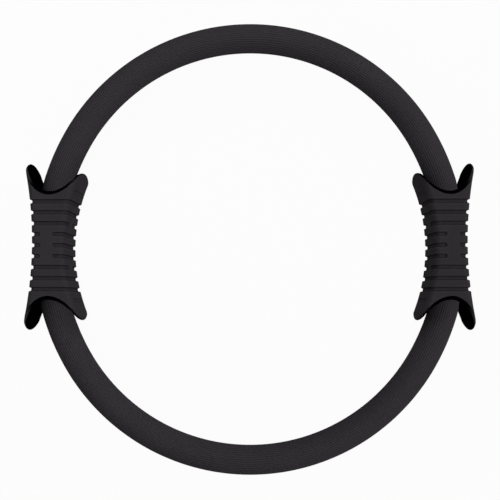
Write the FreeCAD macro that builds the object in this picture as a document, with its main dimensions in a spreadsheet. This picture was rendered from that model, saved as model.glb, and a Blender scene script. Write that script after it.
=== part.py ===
"""Pilates ring: a springy foam-covered hoop with two ribbed grips on opposite sides.

The hoop lies flat. Its centre is the origin, +Z is the hoop's axis, X runs across the grips and
Y runs across the crowns. Lengths are in millimetres and angles in degrees.
"""
import FreeCAD, Part
import math
import os

import Sketcher

Vector = FreeCAD.Vector

SIZES = {
    # hoop: centreline half sizes, and the angle from X where a side arc meets a crown arc
    "hoop_half_width": 160.5,
    "hoop_half_height": 168,
    "shoulder_angle": 30,
    # foam sleeve and the glass-fibre band inside it
    "foam_diameter": 23.2,
    "foam_press_gap": 0.3,
    "band_width": 15,
    "band_thickness": 3,
    "band_fit": 0.2,
    "band_end_gap": 2,
    # steps along a grip from its middle: screws, end of the splice plate, end of the clamp, foam stop
    "screw_near": 7,
    "screw_far": 18,
    "splice_end_margin": 5,
    "bend_start_gap": 1.2,
    "clamp_end_margin": 8,
    "bend_end_gap": 1.5,
    "stop_seat_gap": 2.1,
    "stop_length": 4,
    # steps across a grip from its band: inwards to the inner pad, outwards to the outer pad
    "splice_thickness": 1.5,
    "nut_seat_depth": 2.6,
    "nut_thickness": 3.2,
    "screw_end_beyond_nut": 0.6,
    "screw_end_cover": 2.8,
    "head_seat_floor": 2.6,
    "head_height": 1.9,
    "head_sink": 1.6,
    "clamp_fit": 0.2,
    "grip_wall": 2.5,
    # grip sleeve
    "inner_face_radius": 142,
    "outer_face_radius": 305,
    "grip_depth": 50,
    "grip_corner": 4,
    "groove_pitch": 8.5,
    "groove_width": 2.8,
    "groove_depth": 1.5,
    "groove_end_margin": 7,
    "panel_width": 9,
    "pad_blank_width": 11,
    # mouths of the grip sleeve, between an inner and an outer lip
    "mouth_offset": 0.8,
    "mouth_dip": 39.2,
    "mouth_inner_rise": 8.55,
    "mouth_outer_rise": 5.85,
    "inner_lip_reach": 57.8,
    "inner_lip_radius": 60,
    "outer_lip_reach": 65.8,
    "outer_lip_radius": 39,
    # other sizes of the clamp blocks and of the stop that holds each end of the foam
    "parting_gap": 0.4,
    "relief_angle": 22,
    "pocket_length": 14,
    "pocket_width": 11,
    "pocket_floor": 4,
    "pocket_offset": 14,
    "pocket_pitch": 19,
    "stop_height": 13,
    "stop_width": 19,
    # other sizes of the splice plate, screws and nuts
    "splice_width": 14,
    "screw_diameter": 4,
    "screw_hole_clearance": 0.2,
    "head_diameter": 7.6,
    "socket_across": 2.5,
    "socket_depth": 1.3,
    "nut_across": 7,
    "nut_bore_clearance": 0.05,
    "nut_fit": 0.15,
}

# rows of grooves are counted from the middle of the grip
PANEL_ROWS = 1
BLANK_ROW = 2
LAST_FACE_ROW = 4
LAST_INNER_ROW = 5
LAST_OUTER_ROW = 6
# how far a cutting block stands clear of what it cuts
OVERSHOOT = 2

# sizes that follow from those in the sheet
DERIVED = {
    # the hoop's side and crown arcs
    "arc_step": "(sheet.hoop_half_height - sheet.hoop_half_width)"
    " / (cos(sheet.shoulder_angle) + sin(sheet.shoulder_angle) - 1)",
    "side_shift": "arc_step * cos(sheet.shoulder_angle)",
    "crown_shift": "arc_step * sin(sheet.shoulder_angle)",
    "side_radius": "sheet.hoop_half_width + side_shift",
    "crown_radius": "sheet.hoop_half_height - crown_shift",
    # heights along a grip
    "splice_half_length": "sheet.screw_far + sheet.splice_end_margin",
    "clamp_half_length": "splice_half_length + sheet.clamp_end_margin",
    "long_half_length": f"sheet.outer_lip_reach + {OVERSHOOT}",
    # the bend that leads each band from its straight end into the hoop's curve
    "bend_start": "splice_half_length + sheet.bend_start_gap",
    "bend_sine": "(clamp_half_length + sheet.bend_end_gap) / side_radius",
    "bend_angle": "asin(bend_sine) / 1 deg",
    "bend_radius": "side_radius - bend_start / bend_sine",
    "bend_centre": "bend_start / bend_sine * cos(bend_angle) - side_shift",
    # angles on a side arc where a foam stop starts, how far it runs, and where the foam starts
    "stop_start": "asin((clamp_half_length + sheet.stop_seat_gap) / side_radius) / 1 deg",
    "stop_sweep": "sheet.stop_length / side_radius * 180 / pi",
    "foam_start": "stop_start + stop_sweep",
    # places across a grip
    "band_plane": "bend_centre + bend_radius",
    "band_inner": "band_plane - sheet.band_thickness / 2",
    "splice_inner": "band_inner - sheet.splice_thickness",
    "nut_seat": "splice_inner - sheet.nut_seat_depth",
    "nut_end": "nut_seat - sheet.nut_thickness",
    "screw_tip": "nut_end - sheet.screw_end_beyond_nut",
    "head_bottom": "band_plane + sheet.band_thickness / 2 + sheet.band_fit + sheet.head_seat_floor",
    "head_top": "head_bottom + sheet.head_height",
    "grip_inner": "screw_tip - sheet.screw_end_cover - sheet.clamp_fit - sheet.grip_wall",
    "grip_outer": "head_top + sheet.head_sink + sheet.clamp_fit + sheet.grip_wall",
    "inner_centre": "grip_inner - sheet.inner_face_radius",
    "outer_centre": "grip_outer + sheet.outer_face_radius",
    "mouth_centre": "band_plane - sheet.mouth_offset",
    "hole_radius": "sheet.screw_diameter / 2 + sheet.screw_hole_clearance",
}

doc = FreeCAD.newDocument("pilates_ring")
sheet = doc.addObject("Spreadsheet::Sheet", "sheet")
for row, (alias, number) in enumerate(SIZES.items(), start=1):
    sheet.set(f"A{row}", alias)
    sheet.set(f"B{row}", str(number))
    sheet.setAlias(f"B{row}", alias)
doc.recompute()

derived = doc.addObject("App::VarSet", "derived")
for name, expression in DERIVED.items():
    derived.addProperty("App::PropertyFloat", name)
    derived.setExpression(name, expression)
doc.recompute()


def value(expression):
    """The number that an expression gives now."""
    return float(sheet.evalExpression(expression))


def bind(feature, **expressions):
    """Tie properties of a feature to the sheet."""
    for name, expression in expressions.items():
        feature.setExpression(name, expression)
    return feature


def place(feature, x="0", y="0", z="0", turn=None):
    """Tie where a feature stands to the sheet, with an optional turn about Z."""
    for axis, expression in zip("xyz", (x, y, z)):
        feature.setExpression(f"Placement.Base.{axis}", expression)
    if turn is not None:
        feature.setExpression("Placement.Rotation.Angle", turn)
    return feature


def block(name, x_low, x_high, y_low, y_high, z_low, z_high):
    """A box between two corners."""
    box = doc.addObject("Part::Box", name)
    bind(box, Length=f"{x_high} - ({x_low})", Width=f"{y_high} - ({y_low})", Height=f"{z_high} - ({z_low})")
    return place(box, x_low, y_low, z_low)


def fuse(name, shapes):
    """Several features as one."""
    whole = doc.addObject("Part::MultiFuse", name)
    whole.Shapes = shapes
    return whole


def cut(name, base, tool):
    """One feature less another."""
    rest = doc.addObject("Part::Cut", name)
    rest.Base = base
    rest.Tool = tool
    return rest


def common(name, base, tool):
    """What two features share."""
    shared = doc.addObject("Part::Common", name)
    shared.Base = base
    shared.Tool = tool
    return shared


def mirror(source, normal, name):
    """A mirrored copy of a feature, about a plane through the origin."""
    copy = doc.addObject("Part::Mirroring", name)
    copy.Source = source
    copy.Normal = normal
    return copy


def rod_along_x(kind, name, x_low, length, y, **sizes):
    """A round or six-sided rod that runs along +X from x_low."""
    rod = doc.addObject(kind, name)
    rod.Placement = FreeCAD.Placement(Vector(), FreeCAD.Rotation(Vector(0, 1, 0), 90))
    bind(rod, Height=length, **sizes)
    return place(rod, x_low, y)


def curved_bar(name, centre_x, centre_y, radius, start, sweep, height, width):
    """A flat bar bent to an arc about Z: height is across the arc, width is along Z."""
    sides = []
    for side, sign in (("outside", "+"), ("inside", "-")):
        disc = doc.addObject("Part::Cylinder", f"{name}_{side}")
        bind(disc, Radius=f"{radius} {sign} {height} / 2", Height=width, Angle=sweep)
        sides.append(place(disc, centre_x, centre_y, f"-{width} / 2", start))
    return cut(name, *sides)


def hoop_arcs(start):
    """The two arcs of the upper right quarter: centre, radius, start and sweep of each."""
    side = ("-derived.side_shift", "0", "derived.side_radius", start, f"sheet.shoulder_angle - {start}")
    crown_sweep = "90 - sheet.shoulder_angle"
    crown = ("0", "derived.crown_shift", "derived.crown_radius", "sheet.shoulder_angle", crown_sweep)
    return {"side": side, "crown": crown}


def hoop_bar(name, start, height, width):
    """A flat bar along the upper right quarter of the hoop, from an angle of the side arc."""
    arcs = hoop_arcs(start)
    return [curved_bar(f"{name}_{arc}", *arcs[arc], height, width) for arc in arcs]


def screw_places():
    """The heights of the four screws in a grip."""
    for sign in ("", "-"):
        for alias in ("screw_near", "screw_far"):
            yield alias, sign, f"{sign}sheet.{alias}"


def screw_rods(kind, name, x_low, length, **sizes):
    """The same rod at each of the four screws."""
    return [
        rod_along_x(kind, f"{name}_{alias}{'_low' if sign else ''}", x_low, length, height, **sizes)
        for alias, sign, height in screw_places()
    ]


def half_band(name):
    """Upper glass-fibre band: straight drilled ends, a tight bend, then the hoop's own curve."""
    straight = block(
        f"{name}_straight",
        "derived.band_inner",
        "derived.band_plane + sheet.band_thickness / 2",
        "sheet.band_end_gap / 2",
        "derived.bend_start",
        "-sheet.band_width / 2",
        "sheet.band_width / 2",
    )
    bend = curved_bar(
        f"{name}_bend",
        "derived.bend_centre",
        "derived.bend_start",
        "derived.bend_radius",
        "0",
        "derived.bend_angle",
        "sheet.band_thickness",
        "sheet.band_width",
    )
    curve = hoop_bar(f"{name}_curve", "derived.bend_angle", "sheet.band_thickness", "sheet.band_width")
    holes = screw_rods(
        "Part::Cylinder",
        f"{name}_hole",
        f"derived.band_inner - {OVERSHOOT}",
        f"sheet.band_thickness + {2 * OVERSHOOT}",
        Radius="derived.hole_radius",
    )
    bar = fuse(f"{name}_bar", [straight, bend] + curve)
    quarter = cut(f"{name}_quarter", bar, fuse(f"{name}_holes", holes))
    return fuse(name, [quarter, mirror(quarter, Vector(1, 0, 0), f"{name}_other_quarter")])


def band_slot(name):
    """The space that the band takes up in the pieces around it, upper right quarter."""
    height = "(sheet.band_thickness + 2 * sheet.band_fit)"
    width = "(sheet.band_width + 2 * sheet.band_fit)"
    return fuse(name, hoop_bar(f"{name}_bar", "derived.bend_angle", height, width))


def quarter_foam(name):
    """Foam sleeve of the upper right quarter, pressed flat where it enters the grip's mouth."""
    arcs = []
    for arc, (x, y, radius, start, sweep) in hoop_arcs("derived.foam_start").items():
        tube = doc.addObject("Part::Torus", f"{name}_{arc}")
        bind(tube, Radius1=radius, Radius2="sheet.foam_diameter / 2", Angle3=sweep)
        arcs.append(place(tube, x, y, "0", start))
    press = doc.addObject("Part::Cylinder", f"{name}_press")
    press_radius = "sheet.outer_face_radius + sheet.grip_wall + sheet.foam_press_gap"
    bind(press, Radius=press_radius, Height="sheet.grip_depth")
    place(press, "derived.outer_centre", "0", "-sheet.grip_depth / 2")
    tools = fuse(f"{name}_tools", [band_slot(f"{name}_slot"), press])
    return cut(name, fuse(f"{name}_tube", arcs), tools)


def foam_stop(name):
    """Rubber stop that keeps the foam's end from creeping along the band into the grip."""
    collar = curved_bar(
        f"{name}_collar",
        "-derived.side_shift",
        "0",
        "derived.side_radius",
        "derived.stop_start",
        "derived.stop_sweep",
        "sheet.stop_height",
        "sheet.stop_width",
    )
    return cut(name, collar, band_slot(f"{name}_slot"))


def sketch_on(body, role, name):
    """A sketch on one of a body's own origin planes."""
    sketch = body.newObject("Sketcher::SketchObject", name)
    plane = next(f for f in body.Origin.OriginFeatures if f.Role == role)
    sketch.AttachmentSupport = (plane, [""])
    sketch.MapMode = "FlatFace"
    return sketch


def dimension(sketch, name, expression, kind, *where):
    """A dimension in a sketch, tied to the sheet."""
    number = sketch.addConstraint(Sketcher.Constraint(kind, *where, value(expression)))
    sketch.renameConstraint(number, name)
    sketch.setExpression(f"Constraints.{name}", expression)


def add_arc(sketch, x, y, radius, start, end):
    """An arc of a circle, with its angles in radians."""
    circle = Part.Circle(Vector(x, y, 0), Vector(0, 0, 1), radius)
    return sketch.addGeometry(Part.ArcOfCircle(circle, start, end))


def add_line(sketch, start, end):
    """A straight line between two points."""
    return sketch.addGeometry(Part.LineSegment(Vector(*start, 0), Vector(*end, 0)))


def join(sketch, *ends):
    """Pairs of ends that meet: geometry, end, other geometry, other end."""
    for pair in ends:
        sketch.addConstraint(Sketcher.Constraint("Coincident", *pair))


def symmetric_pad(body, sketch, name, length):
    """A pad as far each way from its sketch."""
    pad = body.newObject("PartDesign::Pad", name)
    pad.Profile = sketch
    pad.SideType = "Symmetric"
    return bind(pad, Length=length)


def grip_form(name, offset, half_length):
    """The grip's hourglass form, shrunk all round by an offset: two dished pads, flat front and back."""
    body = doc.addObject("PartDesign::Body", name)
    sketch = sketch_on(body, "XY_Plane", f"{name}_outline")
    half = value(half_length)
    inner_radius = value(f"sheet.inner_face_radius + {offset}")
    outer_radius = value(f"sheet.outer_face_radius + {offset}")
    inner_x = value("derived.inner_centre")
    outer_x = value("derived.outer_centre")
    inner_turn = math.asin(half / inner_radius)
    outer_turn = math.asin(half / outer_radius)
    inner_end = inner_x + inner_radius * math.cos(inner_turn)
    outer_end = outer_x - outer_radius * math.cos(outer_turn)
    inner = add_arc(sketch, inner_x, 0, inner_radius, -inner_turn, inner_turn)
    outer = add_arc(sketch, outer_x, 0, outer_radius, math.pi - outer_turn, math.pi + outer_turn)
    top = add_line(sketch, (inner_end, half), (outer_end, half))
    bottom = add_line(sketch, (outer_end, -half), (inner_end, -half))
    join(sketch, (inner, 2, top, 1), (top, 2, outer, 1), (outer, 2, bottom, 1), (bottom, 2, inner, 1))
    for arc in (inner, outer):
        sketch.addConstraint(Sketcher.Constraint("PointOnObject", arc, 3, -1))
    for line in (top, bottom):
        sketch.addConstraint(Sketcher.Constraint("Horizontal", line))
    dimension(sketch, "inner_radius", f"sheet.inner_face_radius + {offset}", "Radius", inner)
    dimension(sketch, "outer_radius", f"sheet.outer_face_radius + {offset}", "Radius", outer)
    dimension(sketch, "inner_centre", "derived.inner_centre", "DistanceX", -1, 1, inner, 3)
    dimension(sketch, "outer_centre", "derived.outer_centre", "DistanceX", -1, 1, outer, 3)
    dimension(sketch, "upper_half", half_length, "DistanceY", -1, 1, top, 1)
    dimension(sketch, "lower_half", half_length, "DistanceY", bottom, 1, -1, 1)
    pad = symmetric_pad(body, sketch, f"{name}_pad", f"sheet.grip_depth - 2 * {offset}")
    doc.recompute()
    long_edges = [
        f"Edge{number}"
        for number, edge in enumerate(pad.Shape.Edges, start=1)
        if isinstance(edge.Curve, Part.Circle)
    ]
    rounding = body.newObject("PartDesign::Fillet", f"{name}_corners")
    rounding.Base = (pad, long_edges)
    bind(rounding, Radius=f"max(sheet.grip_corner - {offset}; sheet.grip_corner / 4)")
    doc.recompute()
    return body


def groove_blocks(name):
    """Blocks for the rows of grooves that run round the grip, with plain places left between them."""
    far_in = "derived.inner_centre"
    far_out = "derived.outer_centre"
    middle = "derived.mouth_centre"
    front = f"(sheet.grip_depth / 2 + {OVERSHOOT})"
    rim = "(sheet.grip_depth / 2 - sheet.groove_end_margin)"
    blank = "sheet.pad_blank_width / 2"
    panel_low = "(derived.mouth_centre - sheet.panel_width / 2)"
    panel_high = "(derived.mouth_centre + sheet.panel_width / 2)"
    blocks = []
    for row in range(-LAST_OUTER_ROW, LAST_OUTER_ROW + 1):
        if abs(row) <= PANEL_ROWS:
            spans = [(far_in, panel_low, f"-{front}", front), (panel_high, far_out, f"-{front}", front)]
        elif abs(row) == BLANK_ROW:
            spans = [
                (far_in, far_out, blank, front),
                (far_in, far_out, f"-{front}", f"-{blank}"),
                (middle, far_out, f"-{front}", front),
            ]
        elif abs(row) <= LAST_FACE_ROW:
            spans = [(far_in, far_out, f"-{front}", front)]
        elif abs(row) <= LAST_INNER_ROW:
            spans = [(far_in, far_out, f"-{rim}", rim)]
        else:
            spans = [(middle, far_out, f"-{rim}", rim)]
        low = f"({row} * sheet.groove_pitch - sheet.groove_width / 2)"
        high = f"({row} * sheet.groove_pitch + sheet.groove_width / 2)"
        for number, (x_low, x_high, z_low, z_high) in enumerate(spans):
            label = f"{name}_{row + LAST_OUTER_ROW}_{number}"
            blocks.append(block(label, x_low, x_high, low, high, z_low, z_high))
    return fuse(name, blocks)


def mouth_cut(name):
    """The scoop out of the front and back walls at the upper mouth, between the two lips."""
    body = doc.addObject("PartDesign::Body", name)
    sketch = sketch_on(body, "XY_Plane", f"{name}_outline")
    x = value("derived.mouth_centre")
    dip = value("sheet.mouth_dip")
    top_y = value("derived.long_half_length")
    down = 1.5 * math.pi
    walls = {}
    scoops = {}
    ends = {}
    for lip, side in (("inner", 1), ("outer", -1)):
        centre = value(f"derived.{lip}_centre")
        radius = value(f"sheet.{lip}_face_radius + sheet.grip_wall")
        rise = value(f"sheet.mouth_{lip}_rise")
        low_turn = math.asin((dip + rise) / radius)
        high_turn = math.asin(top_y / radius)
        reach = centre + side * radius * math.cos(low_turn) - x
        scoop_radius = (reach**2 + rise**2) / (2 * rise)
        scoop_turn = math.acos(1 - rise / scoop_radius)
        if lip == "inner":
            wall_turns = (low_turn, high_turn)
            scoop_turns = (down - scoop_turn, down)
        else:
            wall_turns = (math.pi - high_turn, math.pi - low_turn)
            scoop_turns = (down, down + scoop_turn)
        walls[lip] = add_arc(sketch, centre, 0, radius, *wall_turns)
        scoops[lip] = add_arc(sketch, x, dip + scoop_radius, scoop_radius, *scoop_turns)
        ends[lip] = centre + side * radius * math.cos(high_turn)
    top = add_line(sketch, (ends["inner"], top_y), (ends["outer"], top_y))
    join(
        sketch,
        (walls["inner"], 1, scoops["inner"], 1),
        (scoops["inner"], 2, scoops["outer"], 1),
        (scoops["outer"], 2, walls["outer"], 2),
        (walls["outer"], 1, top, 2),
        (top, 1, walls["inner"], 2),
    )
    sketch.addConstraint(Sketcher.Constraint("Horizontal", top))
    dimension(sketch, "dip_x", "derived.mouth_centre", "DistanceX", -1, 1, scoops["inner"], 2)
    dimension(sketch, "dip_y", "sheet.mouth_dip", "DistanceY", -1, 1, scoops["inner"], 2)
    dimension(sketch, "top_y", "derived.long_half_length", "DistanceY", -1, 1, top, 1)
    for lip, low_end in (("inner", 1), ("outer", 2)):
        wall = walls[lip]
        sketch.addConstraint(Sketcher.Constraint("PointOnObject", wall, 3, -1))
        dimension(sketch, f"{lip}_centre", f"derived.{lip}_centre", "DistanceX", -1, 1, wall, 3)
        dimension(sketch, f"{lip}_radius", f"sheet.{lip}_face_radius + sheet.grip_wall", "Radius", wall)
        dimension(sketch, f"{lip}_scoop_x", "derived.mouth_centre", "DistanceX", -1, 1, scoops[lip], 3)
        height = f"sheet.mouth_dip + sheet.mouth_{lip}_rise"
        dimension(sketch, f"{lip}_scoop_top", height, "DistanceY", -1, 1, wall, low_end)
    symmetric_pad(body, sketch, f"{name}_pad", f"sheet.grip_depth + {2 * OVERSHOOT}")
    doc.recompute()
    return body


def lip_envelope(name, lip, outward):
    """The space on one side of the mouth's centre that holds a grip's lip, with rounded tongue ends."""
    body = doc.addObject("PartDesign::Body", name)
    sketch = sketch_on(body, "YZ_Plane", f"{name}_outline")
    sketch.setExpression("AttachmentOffset.Base.z", "derived.mouth_centre")
    half_depth = f"(sheet.grip_depth / 2 + {OVERSHOOT})"
    reach = value(f"sheet.{lip}_lip_reach")
    radius = value(f"sheet.{lip}_lip_radius")
    depth = value(half_depth)
    turn = math.asin(depth / radius)
    centre = reach - radius
    corner = centre + radius * math.cos(turn)
    upper = add_arc(sketch, centre, 0, radius, -turn, turn)
    front = add_line(sketch, (corner, depth), (-corner, depth))
    lower = add_arc(sketch, -centre, 0, radius, math.pi - turn, math.pi + turn)
    back = add_line(sketch, (-corner, -depth), (corner, -depth))
    join(sketch, (upper, 2, front, 1), (front, 2, lower, 1), (lower, 2, back, 1), (back, 2, upper, 1))
    for arc in (upper, lower):
        sketch.addConstraint(Sketcher.Constraint("PointOnObject", arc, 3, -1))
    for line in (front, back):
        sketch.addConstraint(Sketcher.Constraint("Horizontal", line))
    dimension(sketch, "upper_radius", f"sheet.{lip}_lip_radius", "Radius", upper)
    dimension(sketch, "lower_radius", f"sheet.{lip}_lip_radius", "Radius", lower)
    centre_from_origin = f"sheet.{lip}_lip_reach - sheet.{lip}_lip_radius"
    dimension(sketch, "upper_centre", centre_from_origin, "DistanceX", -1, 1, upper, 3)
    dimension(sketch, "lower_centre", f"-({centre_from_origin})", "DistanceX", -1, 1, lower, 3)
    dimension(sketch, "front_depth", half_depth, "DistanceY", -1, 1, front, 1)
    dimension(sketch, "back_depth", half_depth, "DistanceY", back, 1, -1, 1)
    pad = body.newObject("PartDesign::Pad", f"{name}_pad")
    pad.Profile = sketch
    pad.Reversed = not outward
    bind(pad, Length="sheet.outer_lip_reach")
    doc.recompute()
    return body


def grip_sleeve(name):
    """Soft ribbed sleeve of the right grip, open at both mouths."""
    form = grip_form(f"{name}_form", "0", "derived.long_half_length")
    floor = grip_form(f"{name}_floor", "sheet.groove_depth", "derived.long_half_length")
    hollow = grip_form(f"{name}_hollow", "sheet.grip_wall", f"(derived.long_half_length + {OVERSHOOT})")
    ribs = cut(f"{name}_ribs", form, groove_blocks(f"{name}_grooves"))
    ribbed = fuse(f"{name}_ribbed", [ribs, floor])
    upper_mouth = mouth_cut(f"{name}_mouth")
    lower_mouth = mirror(upper_mouth, Vector(0, 1, 0), f"{name}_lower_mouth")
    openings = fuse(f"{name}_openings", [hollow, upper_mouth, lower_mouth])
    lips = [
        lip_envelope(f"{name}_inner_lips", "inner", outward=False),
        lip_envelope(f"{name}_outer_lips", "outer", outward=True),
    ]
    return common(name, cut(f"{name}_tube", ribbed, openings), fuse(f"{name}_lips", lips))


def band_channel(name):
    """Channel for the straight ends of both bands, cut into both clamp blocks."""
    height = "(sheet.band_thickness / 2 + sheet.band_fit)"
    half_width = "(sheet.band_width / 2 + sheet.band_fit)"
    length = f"(derived.clamp_half_length + {OVERSHOOT})"
    return block(
        name,
        f"(derived.band_plane - {height})",
        f"(derived.band_plane + {height})",
        f"-{length}",
        length,
        f"-{half_width}",
        half_width,
    )


def relief_wedges(name):
    """Room at both ends of the inner block for the band to swing as the hoop flexes."""
    half_width = "(sheet.band_width / 2 + sheet.band_fit)"
    wedges = []
    for end, sign in (("upper", ""), ("lower", "-")):
        wedge = doc.addObject("Part::Box", f"{name}_{end}")
        bind(
            wedge,
            Length="derived.clamp_half_length",
            Width="derived.clamp_half_length",
            Height=f"2 * {half_width}",
        )
        turn = "sheet.relief_angle" if end == "upper" else "-sheet.relief_angle - 90"
        start = "derived.band_inner - sheet.band_fit"
        place(wedge, start, f"{sign}derived.bend_start", f"-{half_width}", turn)
        wedges.append(wedge)
    return wedges


def lightening_pockets(name):
    """Pockets in the inner block, moulded from its pad side."""
    pockets = []
    for column in (-1, 1):
        for row in (-1, 0, 1):
            y = f"({row} * sheet.pocket_pitch)"
            z = f"({column} * sheet.pocket_offset)"
            pockets.append(
                block(
                    f"{name}_{column + 1}_{row + 1}",
                    "derived.inner_centre",
                    "(derived.band_plane - sheet.parting_gap / 2 - sheet.pocket_floor)",
                    f"({y} - sheet.pocket_length / 2)",
                    f"({y} + sheet.pocket_length / 2)",
                    f"({z} - sheet.pocket_width / 2)",
                    f"({z} + sheet.pocket_width / 2)",
                )
            )
    return pockets


def hexagon(across):
    """The corner radius of a hexagon, from its size across the flats."""
    return f"({across}) / sqrt(3)"


def clamp_blocks(side):
    """The blocks that clamp the band ends: the inner one holds the nuts, the outer one the screw heads."""
    name = f"{side}_clamp"
    form = grip_form(f"{name}_form", "(sheet.grip_wall + sheet.clamp_fit)", "derived.clamp_half_length")
    far = f"(derived.clamp_half_length + {OVERSHOOT})"
    depth = "sheet.grip_depth"
    inner_side = block(
        f"{name}_inner_side",
        "derived.inner_centre",
        "(derived.band_plane - sheet.parting_gap / 2)",
        f"-{far}",
        far,
        f"-{depth}",
        depth,
    )
    outer_side = block(
        f"{name}_outer_side",
        "(derived.band_plane + sheet.parting_gap / 2)",
        "derived.outer_centre",
        f"-{far}",
        far,
        f"-{depth}",
        depth,
    )
    plate_half_width = "(sheet.splice_width / 2 + sheet.band_fit)"
    plate_half_length = "(derived.splice_half_length + sheet.band_fit)"
    plate_seat = block(
        f"{name}_plate_seat",
        "derived.splice_inner",
        "derived.band_plane",
        f"-{plate_half_length}",
        plate_half_length,
        f"-{plate_half_width}",
        plate_half_width,
    )
    holes = screw_rods(
        "Part::Cylinder",
        f"{name}_hole",
        "derived.screw_tip",
        "derived.outer_centre - derived.screw_tip",
        Radius="derived.hole_radius",
    )
    nut_pockets = screw_rods(
        "Part::Prism",
        f"{name}_nut_pocket",
        "derived.inner_centre",
        "derived.nut_seat - derived.inner_centre",
        Circumradius=hexagon("sheet.nut_across + 2 * sheet.nut_fit"),
    )
    head_seats = screw_rods(
        "Part::Cone",
        f"{name}_head_seat",
        "derived.head_bottom",
        "sheet.head_height",
        Radius1="derived.hole_radius",
        Radius2="sheet.head_diameter / 2 + sheet.screw_hole_clearance",
    )
    head_mouths = screw_rods(
        "Part::Cylinder",
        f"{name}_head_mouth",
        "derived.head_top",
        "sheet.head_diameter",
        Radius="sheet.head_diameter / 2 + sheet.screw_hole_clearance",
    )
    channel = band_channel(f"{name}_channel")
    inner_tools = [channel, plate_seat] + holes + nut_pockets
    inner_tools += relief_wedges(f"{name}_relief") + lightening_pockets(f"{name}_pocket")
    outer_tools = [channel] + holes + head_seats + head_mouths
    inner = cut(
        f"{side}_inner_clamp",
        common(f"{name}_inner_half", form, inner_side),
        fuse(f"{name}_inner_tools", inner_tools),
    )
    outer = cut(
        f"{side}_outer_clamp",
        common(f"{name}_outer_half", form, outer_side),
        fuse(f"{name}_outer_tools", outer_tools),
    )
    return inner, outer


def splice_plate(name):
    """Steel plate that bridges the ends of the two bands."""
    plate = block(
        f"{name}_blank",
        "derived.splice_inner",
        "derived.band_inner",
        "-derived.splice_half_length",
        "derived.splice_half_length",
        "-sheet.splice_width / 2",
        "sheet.splice_width / 2",
    )
    holes = screw_rods(
        "Part::Cylinder",
        f"{name}_hole",
        f"derived.splice_inner - {OVERSHOOT}",
        f"sheet.splice_thickness + {2 * OVERSHOOT}",
        Radius="derived.hole_radius",
    )
    return cut(name, plate, fuse(f"{name}_holes", holes))


def group(name, features):
    """Like pieces that share one node."""
    whole = doc.addObject("Part::Compound", name)
    whole.Links = features
    return whole


def clamp_screws(name):
    """Four countersunk socket screws."""
    shanks = screw_rods(
        "Part::Cylinder",
        f"{name}_shank",
        "derived.screw_tip",
        "derived.head_bottom - derived.screw_tip",
        Radius="sheet.screw_diameter / 2",
    )
    heads = screw_rods(
        "Part::Cone",
        f"{name}_head",
        "derived.head_bottom",
        "sheet.head_height",
        Radius1="sheet.screw_diameter / 2",
        Radius2="sheet.head_diameter / 2",
    )
    sockets = screw_rods(
        "Part::Prism",
        f"{name}_socket",
        "derived.head_top - sheet.socket_depth",
        "sheet.head_height",
        Circumradius=hexagon("sheet.socket_across"),
    )
    screws = [
        cut(f"{name}_{number}", fuse(f"{name}_blank_{number}", [shank, head]), socket)
        for number, (shank, head, socket) in enumerate(zip(shanks, heads, sockets))
    ]
    return group(name, screws)


def clamp_nuts(name):
    """Four hexagon nuts, each against the floor of its pocket."""
    blanks = screw_rods(
        "Part::Prism",
        f"{name}_blank",
        "derived.nut_end",
        "sheet.nut_thickness",
        Circumradius=hexagon("sheet.nut_across"),
    )
    bores = screw_rods(
        "Part::Cylinder",
        f"{name}_bore",
        f"derived.nut_end - {OVERSHOOT}",
        f"sheet.nut_thickness + {2 * OVERSHOOT}",
        Radius="sheet.screw_diameter / 2 + sheet.nut_bore_clearance",
    )
    nuts = [cut(f"{name}_{number}", *pair) for number, pair in enumerate(zip(blanks, bores))]
    return group(name, nuts)


def build():
    """Every sub-part, by the name of its node. The right and upper ones are made, the others mirrored."""
    across = Vector(1, 0, 0)
    over = Vector(0, 1, 0)
    inner_clamp, outer_clamp = clamp_blocks("right")
    parts = {
        "right_grip_sleeve": grip_sleeve("right_grip_sleeve"),
        "right_inner_clamp": inner_clamp,
        "right_outer_clamp": outer_clamp,
        "right_splice_plate": splice_plate("right_splice_plate"),
        "right_clamp_screws": clamp_screws("right_clamp_screws"),
        "right_clamp_nuts": clamp_nuts("right_clamp_nuts"),
        "upper_right_foam": quarter_foam("upper_right_foam"),
        "upper_right_foam_stop": foam_stop("upper_right_foam_stop"),
        "upper_band": half_band("upper_band"),
    }
    for node in [name for name in parts if "right" in name]:
        twin = node.replace("right", "left")
        parts[twin] = mirror(parts[node], across, twin)
    for node in [name for name in parts if "upper" in name]:
        twin = node.replace("upper", "lower")
        parts[twin] = mirror(parts[node], over, twin)
    return parts


def check(parts):
    """Stop if any feature failed, or if a sub-part is empty, broken or not the solids it should be."""
    for feature in doc.Objects:
        faults = {"Invalid", "Error"} & set(feature.State)
        if faults:
            raise RuntimeError(f"{feature.Name} is {faults}")
    for node, feature in parts.items():
        shape = feature.Shape
        wanted = 4 if node.endswith(("screws", "nuts")) else 1
        if shape.isNull() or not shape.isValid() or len(shape.Solids) != wanted:
            raise RuntimeError(f"{node} is not {wanted} sound solids")


def write(parts):
    """One STEP file for each sub-part."""
    os.makedirs("parts", exist_ok=True)
    for node, feature in parts.items():
        feature.Label = node
        feature.Shape.exportStep(os.path.join("parts", f"{node}.step"))
        box = feature.Shape.BoundBox
        corners = (box.XMin, box.YMin, box.ZMin, box.XMax, box.YMax, box.ZMax)
        print(f"{node}: {feature.Shape.Volume / 1000:.2f} cm3,", " ".join(f"{c:.1f}" for c in corners))


sub_parts = build()
doc.recompute()
check(sub_parts)
write(sub_parts)
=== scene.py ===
"""Looks of the pilates ring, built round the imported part.

Shapes are worked out in millimetres, in the part's own frame, and turned into metres when a mesh is made.
"""

import math

import bmesh
import bpy
import numpy as np
from mathutils import Matrix, Vector


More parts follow.
